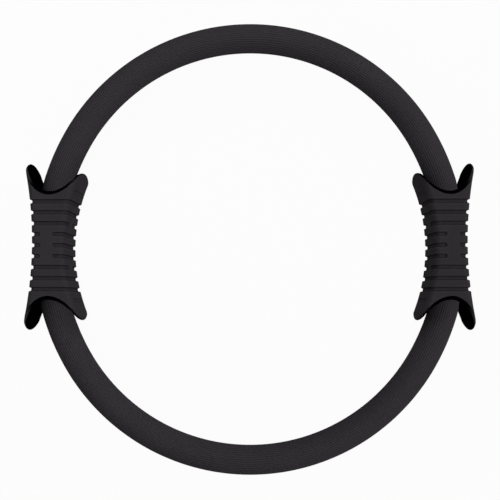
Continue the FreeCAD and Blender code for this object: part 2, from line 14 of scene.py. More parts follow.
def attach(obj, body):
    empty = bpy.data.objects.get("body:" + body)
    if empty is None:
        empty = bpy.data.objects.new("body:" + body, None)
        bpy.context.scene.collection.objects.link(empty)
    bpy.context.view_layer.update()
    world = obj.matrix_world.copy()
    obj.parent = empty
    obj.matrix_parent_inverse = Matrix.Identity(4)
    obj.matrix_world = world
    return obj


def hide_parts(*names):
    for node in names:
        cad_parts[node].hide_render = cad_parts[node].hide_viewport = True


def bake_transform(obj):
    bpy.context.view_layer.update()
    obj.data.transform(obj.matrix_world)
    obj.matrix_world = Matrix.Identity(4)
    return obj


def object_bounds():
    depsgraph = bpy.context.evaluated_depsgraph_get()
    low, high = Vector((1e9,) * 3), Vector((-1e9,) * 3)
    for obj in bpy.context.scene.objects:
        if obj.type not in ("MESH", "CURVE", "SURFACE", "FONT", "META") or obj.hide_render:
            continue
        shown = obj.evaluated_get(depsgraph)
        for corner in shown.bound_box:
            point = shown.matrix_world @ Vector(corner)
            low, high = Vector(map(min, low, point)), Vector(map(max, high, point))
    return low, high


MM = 0.001

# hoop: centreline half sizes, and the angle from X where a side arc meets a crown arc
HALF_WIDTH = 160.5
HALF_HEIGHT = 168.0
SHOULDER = math.radians(30)
ARC_STEP = (HALF_HEIGHT - HALF_WIDTH) / (math.cos(SHOULDER) + math.sin(SHOULDER) - 1)
SIDE_SHIFT = ARC_STEP * math.cos(SHOULDER)
CROWN_SHIFT = ARC_STEP * math.sin(SHOULDER)
SIDE_RADIUS = HALF_WIDTH + SIDE_SHIFT
CROWN_RADIUS = HALF_HEIGHT - CROWN_SHIFT

# foam sleeve, with fine ribs along its length
FOAM_RADIUS = 11.6
FOAM_START_HEIGHT = 37.1
FOAM_RIBS = 40
POINTS_PER_RIB = 5
RIB_DEPTH = 0.4
FOAM_STATIONS = 180
FOAM_EDGE = 2.2
FOAM_EDGE_STEPS = 5
FOAM_RELIEF = 2.0
FOAM_RELIEF_LENGTH = 13.0
FOAM_RELIEF_CURVE = 1.5
SLOT_POINTS_PER_SIDE = 10
SLOT_STATIONS = FOAM_STATIONS // 3

# glass-fibre band
BAND_WIDTH = 15.0
BAND_THICKNESS = 3.0
BAND_EDGE = 0.35
BAND_EDGE_STEPS = 3
BAND_FIT = 0.2
BAND_END = 1.0
BEND_START = 24.2
BEND_END = 32.5
BEND_SINE = BEND_END / SIDE_RADIUS
BEND_ANGLE = math.asin(BEND_SINE)
BEND_RADIUS = SIDE_RADIUS - BEND_START / BEND_SINE
BEND_CENTRE = BEND_START / BEND_SINE * math.cos(BEND_ANGLE) - SIDE_SHIFT
BAND_PLANE = BEND_CENTRE + BEND_RADIUS
SPLIT_GAP = 0.35
SPLIT_TURN = SPLIT_GAP / BEND_RADIUS
BEND_STATIONS = 5
STRAIGHT_STATIONS = 9
SCREW_HEIGHTS = (7.0, 18.0)
HOLE_RADIUS = 2.2
HOLE_SIDES = 32

# grip sleeve: two dished pads, flat front and back, rounded long edges
INNER_RADIUS = 142.0
OUTER_RADIUS = 305.0
INNER_PAD_OFFSET = 14.9
OUTER_PAD_OFFSET = 10.5
INNER_CENTRE = BAND_PLANE - INNER_PAD_OFFSET - INNER_RADIUS
OUTER_CENTRE = BAND_PLANE + OUTER_PAD_OFFSET + OUTER_RADIUS
HALF_DEPTH = 25.0
CORNER = 4.0
WALL = 2.5
FLAT_HALF = HALF_DEPTH - CORNER
CORNER_ARC = CORNER * math.pi / 2

# lips and mouths of the grip sleeve
MOUTH_OFFSET = 0.8
MOUTH_CENTRE = BAND_PLANE - MOUTH_OFFSET
MOUTH_DIP = 39.2
SCOOP_OFFSET = 2.15
SCOOP_CENTRE = MOUTH_CENTRE - SCOOP_OFFSET
SCOOP_INNER_RADIUS = 20.6
SCOOP_OUTER_RADIUS = 16.25
SCOOP_SPAN = (-16.35, 12.65)
INNER_LIP_REACH = 57.8
INNER_LIP_RADIUS = 60.0
OUTER_LIP_REACH = 65.8
OUTER_LIP_RADIUS = 39.0
RIM_HEIGHT = 45.0
LIP_ROUND = 1.25
BEAD_REACH = 3.0
BEAD_DEPTH = 6.0
BEAD_STEPS = 10
BEAD_FADE = 7.0

# shares of the way round the bead between which the rubber turns into the near-black painted shade of the
# mouth's inside
OUTER_LIP_PAINTED_SHADE = (0.45, 0.65)
INNER_LIP_PAINTED_SHADE = (0.15, 0.4)

# how far past the rounded long edges the rim's height and its bead are eased
RIM_EASE = 2.0
RIM_EASE_FRONT = 1.5
BEAD_EASE_PAD = 1.0
BEAD_EASE_FRONT = 3.0

# rows and columns of the grip sleeve's points
COLUMN_STEP = 0.7
RIM_SAMPLES = 4001
SLOPE_STEP = 0.01
RIM_MARGIN = 0.12
RIDGE_SHARE = 0.36
LIP_ROWS_START = 56.5
LIP_ROWS = 6
INSIDE_ROWS = 45

# order of the grip sleeve's materials
SKIN_SLOT = 0
RIM_SLOT = 1
PAINTED_SHADE_SLOT = 2

# grooves of the grip sleeve, in rows counted from its middle
GROOVE_PITCH = 8.5
GROOVE_DEPTH = 1.75
GROOVE_FLOOR_HALF = 0.85
GROOVE_TOP_HALF = 1.8
GROOVE_OFFSETS = (0.0, 0.75, 1.0, 1.25, 1.5, 1.75, 2.0)
PANEL_ROW = 1
BLANK_ROW = 2
LAST_FULL_ROW = 4
LIP_ROW = 5
LAST_ROW = 6
PANEL_TO_OUTER = 4.0
PANEL_TO_INNER = 4.9
LIP_GROOVE_SHARE = 0.5
PAD_BLANK_HALF = 5.5
GROOVE_END_MARGIN = 7.0
GROOVE_FADE = 1.5
WEAR_OFFSET = 0.2
WEAR_SPAN = (0.1, 0.8)
FAR = 60.0

# colours
FOAM_DARK = (0.0235, 0.0206, 0.0231)
FOAM_LIGHT = (0.0269, 0.0237, 0.0266)
# painted highlight along the crests of the foam's ribs
FOAM_CREST_HIGHLIGHT = (0.0419, 0.0394, 0.0429)
SPECK_DARK = (0.92, 0.92, 0.92)
SPECK_LIGHT = (1.07, 1.07, 1.07)
GRIP_DARK = (0.028, 0.0254, 0.0279)
GRIP_LIGHT = (0.0313, 0.0286, 0.0313)
GRIP_WORN = (0.0377, 0.0353, 0.0382)
# painted shade on the walls of the grooves
GROOVE_PAINTED_SHADE = (0.006, 0.005, 0.006)
# near-black painted shade over the sleeves' inside and the inner side of each mouth's bead
PAINTED_SHADE_GREY = 0.0006
PAINTED_SHADE_COLOUR = (PAINTED_SHADE_GREY, PAINTED_SHADE_GREY, PAINTED_SHADE_GREY)
STOP_GREY = 0.012
RUBBER_DARK_SHARES = (0.8, 0.78, 0.8)
RUBBER_LIGHT_SHARES = (1.25, 1.2, 1.25)
CLAMP_DARK = (0.016, 0.016, 0.018)
CLAMP_LIGHT = (0.024, 0.024, 0.026)
STEEL_DARK = (0.52, 0.53, 0.55)
STEEL_LIGHT = (0.68, 0.68, 0.69)
RESIN = (0.3, 0.26, 0.14)
ROVING = (0.5, 0.47, 0.33)

# the span that most values of a noise texture lie in
NOISE_LOW = 0.3
NOISE_HIGH = 0.7

# camera and light
CAMERA_PLACE = (9.8, -42.2, 742.8)
CAMERA_AIM = (0.35, -2.6, 0.0)
CAMERA_LENS = 67.2
SENSOR = 36.0
FLOOR_HALF_SIZE = 3000.0
FLOOR_CORNERS = ((-1, -1), (1, -1), (1, 1), (-1, 1))
FLOOR_GREY = 0.6
FLOOR_WHITE = 0.95
STUDIO_LEVEL = 0.05

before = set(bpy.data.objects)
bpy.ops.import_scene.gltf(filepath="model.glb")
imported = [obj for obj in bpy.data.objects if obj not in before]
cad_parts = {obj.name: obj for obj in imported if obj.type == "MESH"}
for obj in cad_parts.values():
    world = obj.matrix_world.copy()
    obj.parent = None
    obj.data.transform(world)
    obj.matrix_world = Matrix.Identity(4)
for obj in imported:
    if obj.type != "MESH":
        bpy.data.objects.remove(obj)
cad_low, cad_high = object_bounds()


def new_piece(name, points, faces, materials, smooth=True):
    """A mesh object from points in millimetres."""
    mesh = bpy.data.meshes.new(name)
    mesh.from_pydata([tuple(MM * c for c in point) for point in points], [], faces)
    mesh.validate()
    mesh.polygons.foreach_set("use_smooth", [smooth] * len(mesh.polygons))
    for material in materials:
        mesh.materials.append(material)
    piece = bpy.data.objects.new(name, mesh)
    bpy.context.scene.collection.objects.link(piece)
    return piece


def outward_faces(piece):
    """Turn every face of a closed piece outwards."""
    work = bmesh.new()
    work.from_mesh(piece.data)
    bmesh.ops.recalc_face_normals(work, faces=work.faces)
    work.to_mesh(piece.data)
    work.free()


# Materials


def node_material(name, roughness, specular, metallic=0.0):
    """A material with its shader, and the shader's constants set on its own sockets."""
    material = bpy.data.materials.new(name)
    material.use_nodes = True
    tree = material.node_tree
    shader = tree.nodes["Principled BSDF"]
    shader.inputs["Roughness"].default_value = roughness
    shader.inputs["Specular IOR Level"].default_value = specular
    shader.inputs["Metallic"].default_value = metallic
    return material, tree, shader


def object_place(tree, stretch=(1.0, 1.0, 1.0)):
    """Object coordinates, stretched along the axes."""
    place = tree.nodes.new("ShaderNodeTexCoord")
    mapping = tree.nodes.new("ShaderNodeMapping")
    mapping.inputs["Scale"].default_value = stretch
    tree.links.new(place.outputs["Object"], mapping.inputs["Vector"])
    return mapping.outputs["Vector"]


def noise(tree, vector, scale, detail=4.0, roughness=0.55):
    """A noise texture's grey value."""
    texture = tree.nodes.new("ShaderNodeTexNoise")
    texture.inputs["Scale"].default_value = scale
    texture.inputs["Detail"].default_value = detail
    texture.inputs["Roughness"].default_value = roughness
    tree.links.new(vector, texture.inputs["Vector"])
    return texture.outputs["Fac"]


def spread(tree, source, low, high, start=NOISE_LOW, end=NOISE_HIGH):
    """A value spread from its usual span onto another."""
    node = tree.nodes.new("ShaderNodeMapRange")
    node.inputs["From Min"].default_value = start
    node.inputs["From Max"].default_value = end
    node.inputs["To Min"].default_value = low
    node.inputs["To Max"].default_value = high
    tree.links.new(source, node.inputs["Value"])
    return node.outputs["Result"]


def two_colours(tree, source, dark, light):
    """A colour ramp between two colours."""
    ramp = tree.nodes.new("ShaderNodeValToRGB")
    ramp.color_ramp.elements[0].position = NOISE_LOW
    ramp.color_ramp.elements[0].color = (*dark, 1)
    ramp.color_ramp.elements[1].position = NOISE_HIGH
    ramp.color_ramp.elements[1].color = (*light, 1)
    tree.links.new(source, ramp.inputs["Fac"])
    return ramp.outputs["Color"]


def mixed(tree, share, first, second, how="MIX"):
    """Two colours mixed by a share."""
    node = tree.nodes.new("ShaderNodeMix")
    node.data_type = "RGBA"
    node.blend_type = how
    for socket, source in (("Factor", share), ("A", first), ("B", second)):
        target = [s for s in node.inputs if s.name == socket and s.enabled][0]
        if isinstance(source, (int, float)):
            target.default_value = source
        elif isinstance(source, tuple):
            target.default_value = (*source, 1)
        else:
            tree.links.new(source, target)
    return [s for s in node.outputs if s.enabled][0]


def bumped(tree, shader, heights):
    """Bump from several height values, each with its own depth in metres."""
    previous = None
    for height, depth in heights:
        bump = tree.nodes.new("ShaderNodeBump")
        bump.inputs["Strength"].default_value = 1.0
        bump.inputs["Distance"].default_value = depth
        tree.links.new(height, bump.inputs["Height"])
        if previous is not None:
            tree.links.new(previous, bump.inputs["Normal"])
        previous = bump.outputs["Normal"]
    tree.links.new(previous, shader.inputs["Normal"])


def attribute(tree, name):
    """A value that the mesh carries at its points."""
    node = tree.nodes.new("ShaderNodeAttribute")
    node.attribute_name = name
    return node.outputs["Fac"]


def foam_material():
    """Matt closed-cell foam rubber: fine cells, faint blotches, and a painted highlight along the crests of
    its ribs.
    """
    material, tree, shader = node_material("foam_rubber", roughness=0.85, specular=0.0)
    place = object_place(tree)
    blotch = noise(tree, place, scale=55, detail=3)
    cells = noise(tree, place, scale=1400, detail=3, roughness=0.7)
    body = two_colours(tree, blotch, FOAM_DARK, FOAM_LIGHT)
    speck = two_colours(tree, cells, SPECK_DARK, SPECK_LIGHT)
    speckled = mixed(tree, 1.0, body, speck, "MULTIPLY")
    # painted highlight along the crests of the ribs
    crest = spread(tree, attribute(tree, "crest"), low=0.0, high=0.8, start=0.1, end=1.0)
    colour = mixed(tree, crest, speckled, FOAM_CREST_HIGHLIGHT)
    tree.links.new(colour, shader.inputs["Base Color"])
    tree.links.new(spread(tree, cells, low=0.7, high=0.92), shader.inputs["Roughness"])
    bumped(tree, shader, [(cells, 0.00002), (blotch, 0.0001)])
    return material


def grip_material(name, with_painted_shade):
    """Matt soft-touch rubber: a fine moulded grain, faint handling marks, paler worn rib edges, and painted
    shade on the walls of its grooves. Where it takes painted shade inside, it turns into the near-black
    painted shade of the mouth's inside."""
    material, tree, shader = node_material(name, roughness=0.7, specular=0.0)
    place = object_place(tree)
    marks = noise(tree, place, scale=35, detail=5, roughness=0.6)
    grain = noise(tree, place, scale=2200, detail=2)
    body = two_colours(tree, marks, GRIP_DARK, GRIP_LIGHT)
    worn = spread(tree, attribute(tree, "wear"), low=0.0, high=0.4, start=0.0, end=1.0)
    colour = mixed(tree, worn, body, GRIP_WORN)
    # painted shade on the walls of the grooves
    groove_shade_share = spread(tree, attribute(tree, "groove_painted_shade"), low=0.0, high=0.55, start=0.0, end=1.0)
    colour = mixed(tree, groove_shade_share, colour, GROOVE_PAINTED_SHADE)
    # near-black painted shade towards the inside of the mouth
    if with_painted_shade:
        colour = mixed(tree, attribute(tree, "painted_shade"), colour, PAINTED_SHADE_COLOUR)
    tree.links.new(colour, shader.inputs["Base Color"])
    tree.links.new(spread(tree, marks, low=0.62, high=0.78), shader.inputs["Roughness"])
    bumped(tree, shader, [(grain, 0.00006), (marks, 0.0001)])
    return material


def dark_rubber_material(name, grey, specular):
    """Near-black moulded rubber with a fine grain."""
    material, tree, shader = node_material(name, roughness=0.75, specular=specular)
    place = object_place(tree)
    marks = noise(tree, place, scale=60, detail=4)
    grain = noise(tree, place, scale=1800, detail=2)
    dark = tuple(grey * share for share in RUBBER_DARK_SHARES)
    light = tuple(grey * share for share in RUBBER_LIGHT_SHARES)
    tree.links.new(two_colours(tree, marks, dark, light), shader.inputs["Base Color"])
    tree.links.new(spread(tree, marks, low=0.65, high=0.85), shader.inputs["Roughness"])
    bumped(tree, shader, [(grain, 0.00006)])
    return material


def clamp_material():
    """Moulded black plastic: spark-eroded grain with slight flow marks."""
    material, tree, shader = node_material("clamp_plastic", roughness=0.45, specular=0.5)
    flow = noise(tree, object_place(tree, stretch=(1.0, 0.25, 1.0)), scale=120, detail=4)
    grain = noise(tree, object_place(tree), scale=1500, detail=3)
    tree.links.new(two_colours(tree, flow, CLAMP_DARK, CLAMP_LIGHT), shader.inputs["Base Color"])
    tree.links.new(spread(tree, flow, low=0.38, high=0.55), shader.inputs["Roughness"])
    bumped(tree, shader, [(grain, 0.00005)])
    return material


def steel_material():
    """Zinc-plated steel: fine drawn lines and a slight bloom in its plating."""
    material, tree, shader = node_material("zinc_plated_steel", roughness=0.35, specular=0.5, metallic=1.0)
    bloom = noise(tree, object_place(tree), scale=220, detail=5)
    lines = noise(tree, object_place(tree, stretch=(1.0, 0.04, 1.0)), scale=2500, detail=2)
    tree.links.new(two_colours(tree, bloom, STEEL_DARK, STEEL_LIGHT), shader.inputs["Base Color"])
    tree.links.new(spread(tree, lines, low=0.25, high=0.45), shader.inputs["Roughness"])
    bumped(tree, shader, [(lines, 0.00002)])
    return material


def glass_fibre_material():
    """Satin glass-fibre laminate: pale rovings along the band in an amber resin."""
    material, tree, shader = node_material("glass_fibre", roughness=0.4, specular=0.5)
    across = attribute(tree, "across")
    shift = noise(tree, object_place(tree), scale=40, detail=2)
    joined = tree.nodes.new("ShaderNodeCombineXYZ")
    tree.links.new(across, joined.inputs["X"])
    tree.links.new(shift, joined.inputs["Y"])
    rovings = noise(tree, joined.outputs["Vector"], scale=9, detail=4)
    tree.links.new(two_colours(tree, rovings, RESIN, ROVING), shader.inputs["Base Color"])
    tree.links.new(spread(tree, rovings, low=0.3, high=0.5), shader.inputs["Roughness"])
    bumped(tree, shader, [(rovings, 0.00008)])
    return material


def seen_directly(tree):
    """Whether a ray comes from the camera, or by way of a reflection or a clear piece."""
    rays = tree.nodes.new("ShaderNodeLightPath")
    seen = rays.outputs["Is Camera Ray"]
    for ray in ("Is Glossy Ray", "Is Transmission Ray"):
        either = tree.nodes.new("ShaderNodeMath")
        either.operation = "MAXIMUM"
        tree.links.new(seen, either.inputs[0])
        tree.links.new(rays.outputs[ray], either.inputs[1])
        seen = either.outputs["Value"]
    return seen


def backdrop_material():
    """Pale floor: white to the camera, with the object's own soft shadow kept in it."""
    material, tree, shader = node_material("pale_floor", 0.9, 0.0)
    shader.inputs["Base Color"].default_value = (FLOOR_GREY, FLOOR_GREY, FLOOR_GREY, 1)
    glow = tree.nodes.new("ShaderNodeEmission")
    glow.inputs["Color"].default_value = (1, 1, 1, 1)
    part = tree.nodes.new("ShaderNodeMath")
    part.operation = "MULTIPLY"
    part.inputs[1].default_value = FLOOR_WHITE
    tree.links.new(seen_directly(tree), part.inputs[0])
    mix = tree.nodes.new("ShaderNodeMixShader")
    tree.links.new(part.outputs["Value"], mix.inputs["Fac"])
    tree.links.new(shader.outputs["BSDF"], mix.inputs[1])
    tree.links.new(glow.outputs["Emission"], mix.inputs[2])
    tree.links.new(mix.outputs["Shader"], tree.nodes["Material Output"].inputs["Surface"])
    return material


# Hoop: foam and bands


def hoop_station(turn):
    """A point of the upper half's centreline, and the outward direction there, for an angle from +X."""
    if turn < SHOULDER:
        centre, radius = (-SIDE_SHIFT, 0.0), SIDE_RADIUS
    elif turn > math.pi - SHOULDER:
        centre, radius = (SIDE_SHIFT, 0.0), SIDE_RADIUS
    else:
        centre, radius = (0.0, CROWN_SHIFT), CROWN_RADIUS
    outward = np.array((math.cos(turn), math.sin(turn), 0.0))
    return np.array((*centre, 0.0)) + radius * outward, outward


def section_at(station, profile):
    """A flat profile of (outward, depth) pairs, set across the hoop at a station."""
    point, outward = station
    return [point + a * outward + np.array((0.0, 0.0, b)) for a, b in profile]


def end_relief(height):
    """How far the foam is eased on its outward side near its ends, to clear the outer lips when squeezed."""
    share = min(max(1 - (height - FOAM_START_HEIGHT) / FOAM_RELIEF_LENGTH, 0.0), 1.0)
    return FOAM_RELIEF * share**FOAM_RELIEF_CURVE


def rib_profile(shrink, relief):
    """The foam's outline with its ribs, drawn in by some millimetres, and how near each point is to
    a crest."""
    count = FOAM_RIBS * POINTS_PER_RIB
    profile = []
    crests = []
    for number in range(count):
        turn = 2 * math.pi * number / count
        crest = abs(math.sin(FOAM_RIBS * turn / 2))
        radius = FOAM_RADIUS - RIB_DEPTH * (1 - crest) - shrink - relief * max(math.cos(turn), 0.0) ** 2
        profile.append((radius * math.cos(turn), radius * math.sin(turn)))
        crests.append(crest)
    return profile, crests


def slot_profile():
    """The outline of the slot that the band lies in, with as many points on each side."""
    a = BAND_THICKNESS / 2 + BAND_FIT
    b = BAND_WIDTH / 2 + BAND_FIT
    corners = [(a, -b), (a, b), (-a, b), (-a, -b)]
    profile = []
    for start, end in zip(corners, corners[1:] + corners[:1]):
        for step in range(SLOT_POINTS_PER_SIDE):
            share = step / SLOT_POINTS_PER_SIDE
            profile.append(tuple(s + share * (e - s) for s, e in zip(start, end)))
    quarter = SLOT_POINTS_PER_SIDE // 2
    return profile[quarter:] + profile[:quarter]


def ring_faces(first, second, count):
    """Quads between two rings of points."""
    return [(first + i, first + (i + 1) % count, second + (i + 1) % count, second + i) for i in range(count)]


def foam_rings(start, end):
    """Stations along the foam, each with how far its outline is drawn in: both ends have a rounded edge."""
    edge_turn = FOAM_EDGE / SIDE_RADIUS
    lead = []
    for step in range(FOAM_EDGE_STEPS):
        angle = 0.5 * math.pi * step / FOAM_EDGE_STEPS
        lead.append((start + edge_turn * (1 - math.cos(angle)), FOAM_EDGE * (1 - math.sin(angle))))
    middle = [(turn, 0.0) for turn in np.linspace(start + edge_turn, end - edge_turn, FOAM_STATIONS)]
    tail = [(start + end - turn, shrink) for turn, shrink in reversed(lead)]
    return lead + middle + tail


def half_foam(name, side, material):
    """Foam sleeve of one half of the hoop: a ribbed tube with a slot through it for the band."""
    start = math.asin(FOAM_START_HEIGHT / SIDE_RADIUS)
    points = []
    crests = []
    faces = []
    rings = foam_rings(start, math.pi - start)
    for number, (turn, shrink) in enumerate(rings):
        station = hoop_station(turn)
        profile, crest = rib_profile(shrink, end_relief(station[0][1]))
        if number:
            faces += ring_faces(len(points) - len(profile), len(points), len(profile))
        points += section_at(station, profile)
        crests += crest
    count = len(profile)
    last_ring = len(points) - count
    slot = slot_profile()
    slot_start = len(points)
    slot_turns = np.linspace(start, math.pi - start, SLOT_STATIONS)
    for number, turn in enumerate(slot_turns):
        if number:
            faces += ring_faces(len(points) - len(slot), len(points), len(slot))
        points += section_at(hoop_station(turn), slot)
    crests += [0.0] * (len(points) - slot_start)
    slot_end = len(points) - len(slot)
    each = count // len(slot)
    for outer, inner in ((0, slot_start), (last_ring, slot_end)):
        for i in range(len(slot)):
            rim = [outer + (i * each + k) % count for k in range(each + 1)]
            faces.append((*rim, inner + (i + 1) % len(slot), inner + i))
    points = [(x, side * y, z) for x, y, z in points]
    piece = new_piece(name, points, faces, [material])
    # the crest share sets a painted highlight along the ribs' crests
    piece.data.attributes.new("crest", "FLOAT", "POINT").data.foreach_set("value", crests)
    outward_faces(piece)
    return piece


def bend_station(turn):
    """A point of the tight bend beside the right grip, and the outward direction there."""
    outward = np.array((math.cos(turn), math.sin(turn), 0.0))
    return np.array((BEND_CENTRE, BEND_START, 0.0)) + BEND_RADIUS * outward, outward


def over_to_left(station):
    """The same station on the other side of the hoop."""
    flip = np.array((-1.0, 1.0, 1.0))
    point, outward = station
    return point * flip, outward * flip


def band_profile():
    """The band's section: a flat bar with rounded edges."""
    a = BAND_THICKNESS / 2
    b = BAND_WIDTH / 2
    profile = []
    for corner, (sa, sb) in enumerate(((1, 1), (-1, 1), (-1, -1), (1, -1))):
        for step in range(BAND_EDGE_STEPS + 1):
            turn = 0.5 * math.pi * (corner + step / BAND_EDGE_STEPS)
            centre = (sa * (a - BAND_EDGE), sb * (b - BAND_EDGE))
            profile.append((centre[0] + BAND_EDGE * math.cos(turn), centre[1] + BAND_EDGE * math.sin(turn)))
    return profile


def bar_along(name, stations, side, material):
    """A bar with the band's section along some stations, closed at both ends."""
    profile = band_profile()
    points = []
    faces = []
    across = []
    for number, station in enumerate(stations):
        if number:
            faces += ring_faces(len(points) - len(profile), len(points), len(profile))
        points += section_at(station, profile)
        across += [b / BAND_WIDTH for a, b in profile]
    count = len(profile)
    faces.append(tuple(range(count)))
    faces.append(tuple(range(len(points) - count, len(points))))
    piece = new_piece(name, [(x, side * y, z) for x, y, z in points], faces, [material], smooth=False)
    piece.data.attributes.new("across", "FLOAT", "POINT").data.foreach_set("value", across)
    outward_faces(piece)
    return piece


def band_middle(name, side, material):
    """The length of a band between the middles of its two tight bends."""
    bend_turns = np.linspace(BEND_ANGLE / 2 + SPLIT_TURN, BEND_ANGLE, BEND_STATIONS)
    bend = [bend_station(turn) for turn in bend_turns]
    curve = [hoop_station(turn) for turn in np.linspace(BEND_ANGLE, math.pi - BEND_ANGLE, FOAM_STATIONS)]
    other = [over_to_left(station) for station in reversed(bend)]
    return bar_along(name, bend + curve[1:-1] + other, side, material)


def band_tail(name, across_side, side, material):
    """A band's straight drilled end, clamped in a grip."""
    outward = np.array((1.0, 0.0, 0.0))
    heights = np.linspace(BAND_END, BEND_START, STRAIGHT_STATIONS)
    straight = [(np.array((BAND_PLANE, height, 0.0)), outward) for height in heights]
    bend_turns = np.linspace(0.0, BEND_ANGLE / 2 - SPLIT_TURN, BEND_STATIONS)
    bend = [bend_station(turn) for turn in bend_turns]
    stations = straight + bend[1:]
    if across_side < 0:
        stations = [over_to_left(station) for station in stations]
    piece = bar_along(name, stations, side, material)
    rods = [hole_rod(across_side * BAND_PLANE, side * height) for height in SCREW_HEIGHTS]
    for rod in rods:
        modifier = piece.modifiers.new("hole", "BOOLEAN")
        modifier.object = rod
        modifier.solver = "EXACT"
    drilled = bpy.data.meshes.new_from_object(piece.evaluated_get(bpy.context.evaluated_depsgraph_get()))
    piece.modifiers.clear()
    piece.data = drilled
    for rod in rods:
        bpy.data.objects.remove(rod)
    return piece


def hole_rod(x, y):
    """A round rod through the band, for one screw hole."""
    points = []
    for end in (-BAND_THICKNESS, BAND_THICKNESS):
        for number in range(HOLE_SIDES):
            turn = 2 * math.pi * number / HOLE_SIDES
            points.append((x + end, y + HOLE_RADIUS * math.cos(turn), HOLE_RADIUS * math.sin(turn)))
    ends = [tuple(range(HOLE_SIDES)), tuple(range(HOLE_SIDES, 2 * HOLE_SIDES))]
    rod = new_piece("hole_rod", points, ring_faces(0, HOLE_SIDES, HOLE_SIDES) + ends, [])
    outward_faces(rod)
    return rod


# Grip sleeves


def outer_face(v):
    """Where the outer pad lies at a height along the grip."""
    return OUTER_CENTRE - np.sqrt(OUTER_RADIUS**2 - v**2)


def inner_face(v):
    """Where the inner pad lies at a height along the grip."""
    return INNER_CENTRE + np.sqrt(INNER_RADIUS**2 - v**2)


def front_width(v):
    """The flat of the front face between its rounded edges, at a height along the grip."""
    return outer_face(v) - inner_face(v) - 2 * CORNER


FRONT_WIDTH = float(front_width(np.array(RIM_HEIGHT)))
# places round half of the grip, from the middle of the outer pad to the middle of the inner pad
OUTER_FLAT_END, FRONT_START, FRONT_END, INNER_FLAT_START, INNER_MIDDLE = np.cumsum(
    (FLAT_HALF, CORNER_ARC, FRONT_WIDTH, CORNER_ARC, FLAT_HALF)
)


def grip_surface(s, v):
    """Points, outward directions and distance round the grip, for places round it and heights along it."""
    s, v = np.broadcast_arrays(np.asarray(s, float), np.asarray(v, float))
    width = front_width(v)
    x_out = outer_face(v)
    x_in = inner_face(v)
    out_tilt = np.stack([np.sqrt(OUTER_RADIUS**2 - v**2), -v, 0 * v], -1) / OUTER_RADIUS
    in_tilt = np.stack([-np.sqrt(INNER_RADIUS**2 - v**2), -v, 0 * v], -1) / INNER_RADIUS
    front = np.stack([0 * v, 0 * v, 0 * v + 1.0], -1)
    turn_one = np.clip((s - OUTER_FLAT_END) / CORNER, 0, math.pi / 2)
    turn_two = np.clip((s - FRONT_END) / CORNER, 0, math.pi / 2)
    share = np.clip((s - FRONT_START) / FRONT_WIDTH, 0, 1)
    on_outer = s < OUTER_FLAT_END
    on_corner = (s >= OUTER_FLAT_END) & (s < FRONT_START)
    on_front = (s >= FRONT_START) & (s < FRONT_END)
    on_other = (s >= FRONT_END) & (s < INNER_FLAT_START)
    places = [on_outer, on_corner, on_front, on_other]
    x = np.select(
        places,
        [
            x_out,
            x_out - CORNER + CORNER * np.cos(turn_one),
            x_out - CORNER - share * width,
            x_in + CORNER - CORNER * np.sin(turn_two),
        ],
        x_in,
    )
    z = np.select(
        places,
        [
            s,
            FLAT_HALF + CORNER * np.sin(turn_one),
            0 * s + HALF_DEPTH,
            FLAT_HALF + CORNER * np.cos(turn_two),
        ],
        INNER_MIDDLE - s,
    )
    along = np.select(
        places,
        [s, s, FRONT_START + share * width, FRONT_START + width + s - FRONT_END],
        FRONT_START + width + s - FRONT_END,
    )
    one = np.cos(turn_one)[..., None] * out_tilt + np.sin(turn_one)[..., None] * front
    two = np.sin(turn_two)[..., None] * in_tilt + np.cos(turn_two)[..., None] * front
    normal = np.where((s < FRONT_END)[..., None], one, two)
    normal = normal / np.linalg.norm(normal, axis=-1, keepdims=True)
    return np.stack([x, v, z], -1), normal, along


def eased(start, end, s):
    """A smooth step from 0 to 1."""
    t = np.clip((s - start) / (end - start), 0, 1)
    return t * t * (3 - 2 * t)


def lip_height(reach, radius, z):
    """The edge of a rounded lip at a depth."""
    return reach - radius + np.sqrt(radius**2 - np.minimum(np.abs(z), HALF_DEPTH) ** 2)


def rim_height(s):
    """How far along the grip its outer skin reaches, at places round it."""
    x = outer_face(np.array(RIM_HEIGHT)) - CORNER - (s - FRONT_START)
    from_dip = np.clip(x - SCOOP_CENTRE, *SCOOP_SPAN)
    scoop = np.where(from_dip > 0, SCOOP_OUTER_RADIUS, SCOOP_INNER_RADIUS)
    front = MOUTH_DIP + scoop - np.sqrt(scoop**2 - from_dip**2)
    outer = lip_height(OUTER_LIP_REACH, OUTER_LIP_RADIUS, s) - LIP_ROUND
    inner = lip_height(INNER_LIP_REACH, INNER_LIP_RADIUS, INNER_MIDDLE - s) - LIP_ROUND
    to_front = eased(OUTER_FLAT_END - RIM_EASE, FRONT_START + RIM_EASE_FRONT, s)
    to_inner = eased(FRONT_END - RIM_EASE, INNER_FLAT_START + RIM_EASE, s)
    return outer * (1 - to_front) + front * (to_front - to_inner) + inner * to_inner


def grip_columns():
    """Places round half of the grip, evenly spaced along its rim, with the rim's height and direction."""
    fine = np.linspace(0, INNER_MIDDLE, RIM_SAMPLES)
    height = rim_height(fine)
    length = np.concatenate([[0], np.cumsum(np.hypot(np.diff(fine), np.diff(height)))])
    count = int(length[-1] / COLUMN_STEP)
    s = np.interp(np.linspace(0, length[-1], count), length, fine)
    slope = (rim_height(s + SLOPE_STEP) - rim_height(s - SLOPE_STEP)) / (2 * SLOPE_STEP)
    slope[[0, -1]] = 0
    size = np.hypot(1, slope)
    return s, rim_height(s), -slope / size, 1 / size


